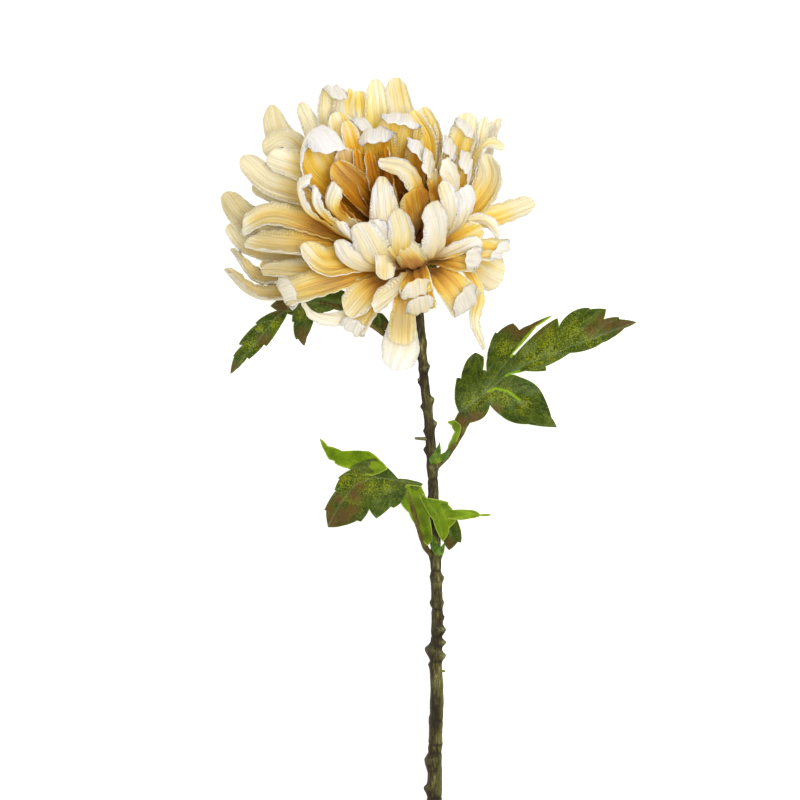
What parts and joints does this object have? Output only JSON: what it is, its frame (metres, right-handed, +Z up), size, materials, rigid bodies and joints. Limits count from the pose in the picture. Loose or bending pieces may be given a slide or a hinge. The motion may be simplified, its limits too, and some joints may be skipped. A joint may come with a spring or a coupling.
{
  "type": "chrysanthemum",
  "caption": "Cut chrysanthemum with a large cream bloom of incurved petals and lobed green leaves on a knobbly stem, lying on a surface.",
  "frame": {"origin": "the flat spot under the cut end of the stem, where it rests on the surface", "axes": "+Y runs along the stem from the cut end to the bloom, +Z up from the surface, +X to the right"},
  "size_m": [0.2086, 0.4224, 0.1163],
  "materials": {
    "petals": "matte crinkled fabric, golden inside and cream outside",
    "leaf_green": "satin coated fabric, dark green with yellow-green speckles and brown tips",
    "young_green": "satin, bright green",
    "bark": "matte, knobbly, olive brown"
  },
  "bodies": {
    "root": {"bloom": "petals", "calyx": "young_green", "stem": "bark", "leaf_right": "leaf_green", "leaf_lower": "leaf_green", "leaf_upper": "leaf_green", "sprout_upper": "young_green", "sprout_lower": "young_green"}
  },
  "joints": []
}
